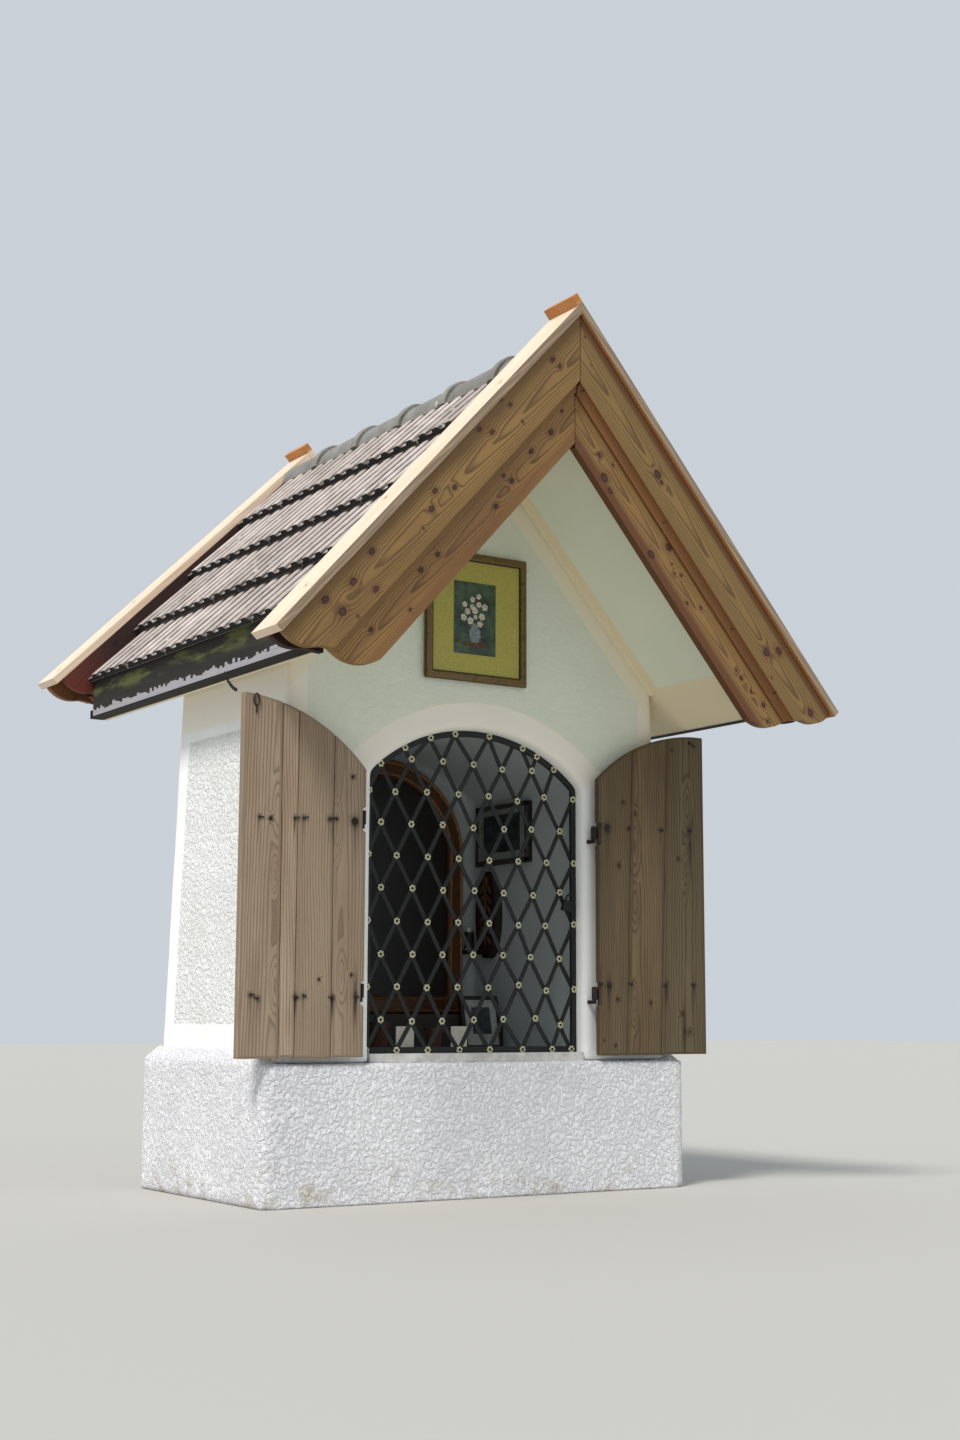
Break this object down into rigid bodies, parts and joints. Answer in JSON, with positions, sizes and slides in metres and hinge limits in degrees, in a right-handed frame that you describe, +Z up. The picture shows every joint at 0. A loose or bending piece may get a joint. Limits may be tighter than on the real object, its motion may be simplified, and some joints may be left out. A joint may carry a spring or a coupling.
{
  "type": "small wayside chapel",
  "caption": "Small rendered wayside chapel with a steep tiled gable roof on deep eaves, an arched niche behind an iron lattice, and hinged plank shutters.",
  "frame": {"origin": "middle of the flat base of the plinth, at the lowest ground point", "axes": "+Z up, the front with the niche looks along -Y, +X to the right seen from the front"},
  "size_m": [1.9737, 1.85, 2.6369],
  "materials": {
    "black_iron": "painted wrought iron",
    "dark_wood": "dark stained wood",
    "floor_screed": "rough screed",
    "gilt_frame": "gilt wood",
    "grey_pine": "weathered pine",
    "larch_board": "oiled larch",
    "padlock_brass": "dull brass",
    "pale_board": "pale planed softwood",
    "picture_board": "painted board",
    "red_brown_board": "red-brown stained softwood",
    "roof_tile": "weathered matt concrete tile",
    "rough_timber": "sawn softwood",
    "roughcast": "rough lime roughcast, limewashed",
    "soffit_plaster": "painted plaster",
    "weathered_timber": "blackened weathered softwood",
    "white_render": "lime render, limewashed"
  },
  "bodies": {
    "chapel": {"altar": "dark_wood", "altarpiece_frame": "gilt_frame", "altarpiece_panel": "picture_board", "arch_head": "white_render", "candle_bracket": "dark_wood", "carved_plaque": "dark_wood", "front_gable": "white_render", "front_inner_boards": "red_brown_board", "front_lower_bargeboards": "larch_board", "front_upper_bargeboards": "larch_board", "front_verge_caps": "pale_board", "gable_picture_frame": "gilt_frame", "gable_picture_panel": "picture_board", "grille": "black_iron", "leaning_picture": "dark_wood", "left_fascia": "weathered_timber", "left_roof_boarding": "rough_timber", "left_soffit": "soffit_plaster", "left_tiles": "roof_tile", "left_wall": "white_render", "niche_floor": "floor_screed", "padlock": "padlock_brass", "plinth": "roughcast", "rafters": "rough_timber", "rear_gable": "white_render", "rear_inner_boards": "red_brown_board", "rear_lower_bargeboards": "larch_board", "rear_upper_bargeboards": "larch_board", "rear_verge_caps": "pale_board", "rear_wall": "white_render", "ridge_tiles": "roof_tile", "right_fascia": "weathered_timber", "right_roof_boarding": "rough_timber", "right_soffit": "soffit_plaster", "right_tiles": "roof_tile", "right_wall": "white_render", "shutter_pintles": "black_iron", "side_picture": "dark_wood"},
    "left_shutter": {"left_shutter_battens": "grey_pine", "left_shutter_boards": "grey_pine", "left_shutter_hinges": "black_iron"},
    "right_shutter": {"right_shutter_battens": "grey_pine", "right_shutter_boards": "grey_pine", "right_shutter_hinges": "black_iron"}
  },
  "joints": [
    {"name": "left_shutter_hinge", "type": "hinge", "parent": "chapel", "child": "left_shutter", "pos_m": [-0.432, -0.406, 0.85], "axis": [0, 0, 1], "range_deg": [0, 180]},
    {"name": "right_shutter_hinge", "type": "hinge", "parent": "chapel", "child": "right_shutter", "pos_m": [0.402, -0.406, 0.85], "axis": [0, 0, -1], "range_deg": [0, 180]}
  ]
}
